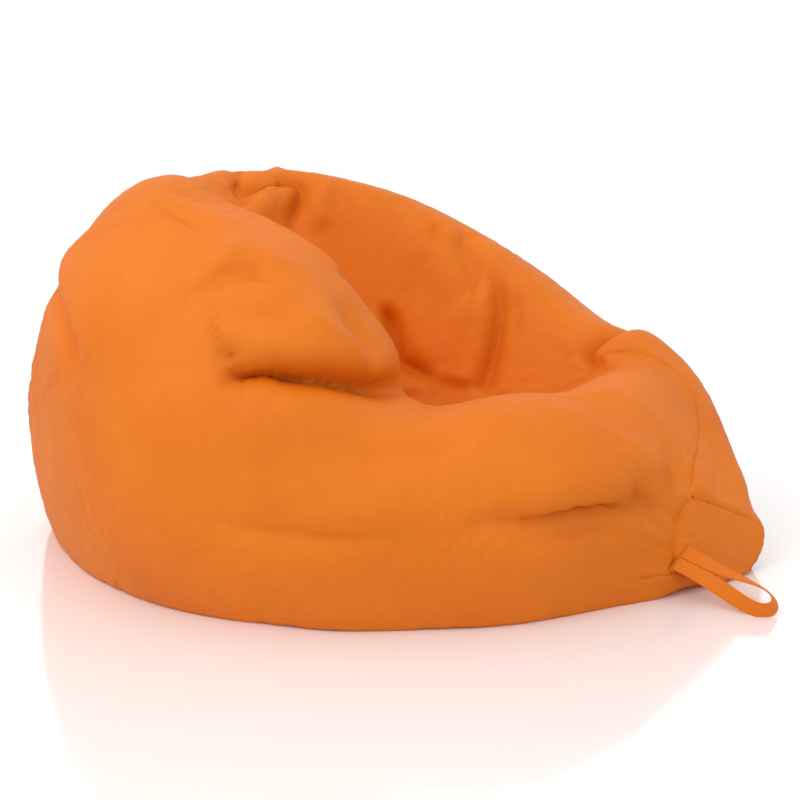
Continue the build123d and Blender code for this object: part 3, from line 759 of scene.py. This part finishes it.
def new_material(name):
    material = bpy.data.materials.new(name)
    material.use_nodes = True
    tree = material.node_tree
    return material, tree.nodes, tree.links, tree.nodes["Principled BSDF"]


def ramp(nodes, links, value, low, high, start=0.35, end=0.65):
    """Colours from low to high as a value goes from start to end."""
    node = nodes.new("ShaderNodeValToRGB")
    node.color_ramp.elements[0].position, node.color_ramp.elements[0].color = start, (*low, 1)
    node.color_ramp.elements[1].position, node.color_ramp.elements[1].color = end, (*high, 1)
    links.new(value, node.inputs["Fac"])
    return node.outputs["Color"]


def span(nodes, links, value, low, high):
    node = nodes.new("ShaderNodeMapRange")
    node.inputs["To Min"].default_value, node.inputs["To Max"].default_value = low, high
    links.new(value, node.inputs["Value"])
    return node.outputs["Result"]


def texture(nodes, links, kind, vector, **inputs):
    node = nodes.new(kind)
    for key, value in inputs.items():
        node.inputs[key.replace("_", " ")].default_value = value
    links.new(vector, node.inputs["Vector"])
    return node


def woven(name, dark, light, roughness, pitch, height, specular=0.22, uv=True):
    """Woven cloth: yarns over and under at a real pitch, with slow changes of shade and gloss."""
    material, nodes, links, shader = new_material(name)
    place = nodes.new("ShaderNodeTexCoord").outputs["Object"]
    if uv:
        threads = nodes.new("ShaderNodeUVMap")
        threads.uv_map = WEAVE_MAP
        threads = threads.outputs["UV"]
    else:
        threads = place
    cloud = texture(nodes, links, "ShaderNodeTexNoise", place, Scale=5.0, Detail=6.0, Roughness=0.6)
    links.new(ramp(nodes, links, cloud.outputs["Fac"], dark, light), shader.inputs["Base Color"])
    fine = texture(nodes, links, "ShaderNodeTexNoise", place, Scale=90.0, Detail=3.0)
    gloss = span(nodes, links, fine.outputs["Fac"], roughness - 0.05, roughness + 0.05)
    links.new(gloss, shader.inputs["Roughness"])
    shader.inputs["Specular IOR Level"].default_value = specular
    yarns = []
    for direction in ("X", "Y"):
        wave = texture(nodes, links, "ShaderNodeTexWave", threads, Scale=2 * pi / (20 * pitch),
                       Distortion=0.0)
        wave.wave_type, wave.bands_direction = "BANDS", direction
        yarns.append(wave.outputs["Fac"])
    weave = nodes.new("ShaderNodeMath")
    weave.operation = "MAXIMUM"
    links.new(yarns[0], weave.inputs[0])
    links.new(yarns[1], weave.inputs[1])
    bump = nodes.new("ShaderNodeBump")
    bump.inputs["Strength"].default_value = 0.35
    bump.inputs["Distance"].default_value = height
    links.new(weave.outputs["Value"], bump.inputs["Height"])
    links.new(bump.outputs["Normal"], shader.inputs["Normal"])
    return material


def grained(name, dark, light, roughness, scale, height, metallic=0.0, kind="ShaderNodeTexNoise"):
    """A material with a fine grain in colour, gloss and height: beads, plastic or brushed metal."""
    material, nodes, links, shader = new_material(name)
    place = nodes.new("ShaderNodeTexCoord").outputs["Object"]
    grain = texture(nodes, links, kind, place, Scale=scale)
    value = grain.outputs["Fac"] if "Fac" in grain.outputs else grain.outputs["Distance"]
    links.new(ramp(nodes, links, value, dark, light, 0.2, 0.8), shader.inputs["Base Color"])
    links.new(span(nodes, links, value, roughness - 0.06, roughness + 0.06), shader.inputs["Roughness"])
    shader.inputs["Metallic"].default_value = metallic
    bump = nodes.new("ShaderNodeBump")
    bump.inputs["Strength"].default_value = 0.4
    bump.inputs["Distance"].default_value = height
    links.new(value, bump.inputs["Height"])
    links.new(bump.outputs["Normal"], shader.inputs["Normal"])
    return material


# ---- camera, light and floor ----

def make_camera():
    target = np.array(CAMERA_TARGET)
    azimuth, elevation = radians(CAMERA_AZIMUTH), radians(CAMERA_ELEVATION)
    away = np.array([sin(azimuth) * cos(elevation), -cos(azimuth) * cos(elevation), sin(elevation)])
    camera = bpy.data.objects.new("camera", bpy.data.cameras.new("camera"))
    camera.location = Vector(target + CAMERA_DISTANCE * away)
    camera.rotation_euler = Vector(-away).to_track_quat("-Z", "Y").to_euler()
    camera.data.lens = CAMERA_LENS
    bpy.context.scene.collection.objects.link(camera)
    bpy.context.scene.camera = camera


def area_light(name, place, target, size, power):
    light = bpy.data.objects.new(name, bpy.data.lights.new(name, "AREA"))
    light.location = place
    light.rotation_euler = (Vector(target) - Vector(place)).to_track_quat("-Z", "Y").to_euler()
    light.data.shape, light.data.size, light.data.energy = "SQUARE", size, power
    bpy.context.scene.collection.objects.link(light)


def make_studio():
    world = bpy.data.worlds.new("studio")
    bpy.context.scene.world = world
    world.use_nodes = True
    world.node_tree.nodes["Background"].inputs["Color"].default_value = (1, 1, 1, 1)
    world.node_tree.nodes["Background"].inputs["Strength"].default_value = WORLD_LIGHT
    area_light("key", (-2.2, 0.6, 2.8), (0, 0, 0.3), 1.6, KEY_LIGHT)
    area_light("fill", (-0.5, -3.2, 1.6), (0, 0, 0.3), 2.2, FILL_LIGHT)
    sheet = np.array([[(x, y, 0.0) for x in (-30, 30)] for y in (-30, 30)])
    floor = bpy.data.objects.new("floor", grid_mesh("floor", sheet, flip=True))
    white = grained("floor_white", (0.95, 0.95, 0.95), (0.97, 0.97, 0.97), 0.15, 0.5, 0.0)
    gloss = white.node_tree.nodes["Principled BSDF"]
    gloss.inputs["Coat Weight"].default_value = 1.0
    gloss.inputs["Coat Roughness"].default_value = 0.10
    gloss.inputs["Coat IOR"].default_value = 1.9
    floor.data.materials.append(white)
    bpy.context.scene.collection.objects.link(floor)
    bpy.context.scene.view_settings.view_transform = "Standard"


# ---- make everything ----

make_camera()
make_studio()

cover = woven("cover_fabric", DARK_ORANGE, LIGHT_ORANGE, 0.55, 0.0011, 0.0004)
webbing = woven("strap_fabric", DARK_ORANGE, LIGHT_ORANGE, 0.55, 0.0016, 0.0006)
thread = grained("thread", (0.72, 0.15, 0.015), (0.86, 0.24, 0.03), 0.6, 900, 0.0002)
liner = woven("liner_fabric", (0.78, 0.78, 0.76), (0.86, 0.86, 0.84), 0.7, 0.0018, 0.0004)
beads = grained("bead_foam", (0.80, 0.80, 0.80), (0.95, 0.95, 0.95), 0.6, 220, 0.003,
                kind="ShaderNodeTexVoronoi")
tape = woven("tape_fabric", (0.66, 0.13, 0.012), (0.74, 0.16, 0.016), 0.7, 0.0010, 0.0004, uv=False)
nylon = grained("coil_nylon", (0.70, 0.15, 0.015), (0.80, 0.18, 0.02), 0.35, 400, 0.0001)
metal = grained("painted_metal", (0.42, 0.42, 0.43), (0.58, 0.58, 0.59), 0.32, 260, 0.0001, metallic=1.0)

skin, seam_columns = skin_grid()
skin = straighten_cap(skin, seam_columns)
for each in FOLDS:
    skin = fold(skin, **each)
skin = relax(skin)
skin[..., 2] = np.maximum(skin[..., 2], 0)
flat_ring = skin[0].copy()
skin = draw_in_seams(skin, seam_columns)
skin[..., 2] = np.maximum(skin[..., 2], 0)

closed_skin = np.concatenate([skin, skin[:, :1]], axis=1)
for (name, _), start, end in zip(GORES, seam_columns[:-1], seam_columns[1:]):
    panel = grid_mesh("cover_" + name, closed_skin[:, start:end + 1] + ROW_SHIFT)
    piece_from(panel, "bag", cover, [name])
piece_from(cap_panel(skin[0], flat_ring), "bag", cover, ["end_cap_panel"])
for name, ring, side in zip(("left", "right"), base_rings(skin), (-1, 1)):
    panel = base_panel("big_end_" + name, ring, side)
    piece_from(panel, "bag", cover, ["base_panel_" + name])
piece_from(inner_layer("liner_sack", skin, 0.007, 0.010, 0.004, 0.004), "bag", liner,
           ["inner_liner"])
piece_from(inner_layer("beads_inside", skin, 0.013, 0.014, 0.007, 0.008), "bag", beads,
           ["bead_fill"])

strap, strap_edges = handle_strap()
piece_from(strap, "handle", webbing, ["handle_strap"])
piece_from(stitches("handle_stitches", strap_edges), "handle", thread)
piece_from(zip_coil("coil_left", 1), "bag", nylon, ["zip_coil_left"])
piece_from(zip_coil("coil_right", -1), "bag", nylon, ["zip_coil_right"])
zip_height = np.linspace(ZIP_WINDOW[0] - 0.004, ZIP_WINDOW[1] + 0.004, 120)
zip_lines = [(base_point(np.full(120, side * (ZIP_HALF_GAP + 0.0025)), zip_height, np.full(120, 0.0009)),
              np.tile(BASE_NORMAL, (120, 1))) for side in (-1, 1)]
piece_from(stitches("zip_stitches", zip_lines), "bag", thread)

CAD_FINISHES = {"handle_tab": webbing, "zip_tape_left": tape, "zip_tape_right": tape, "zip_slider": metal,
                "zip_pull": metal, "zip_bottom_stop": metal, "zip_top_stop": metal}
for node, finish in CAD_FINISHES.items():
    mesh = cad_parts[node].data
    mesh.materials.clear()
    mesh.materials.append(finish)
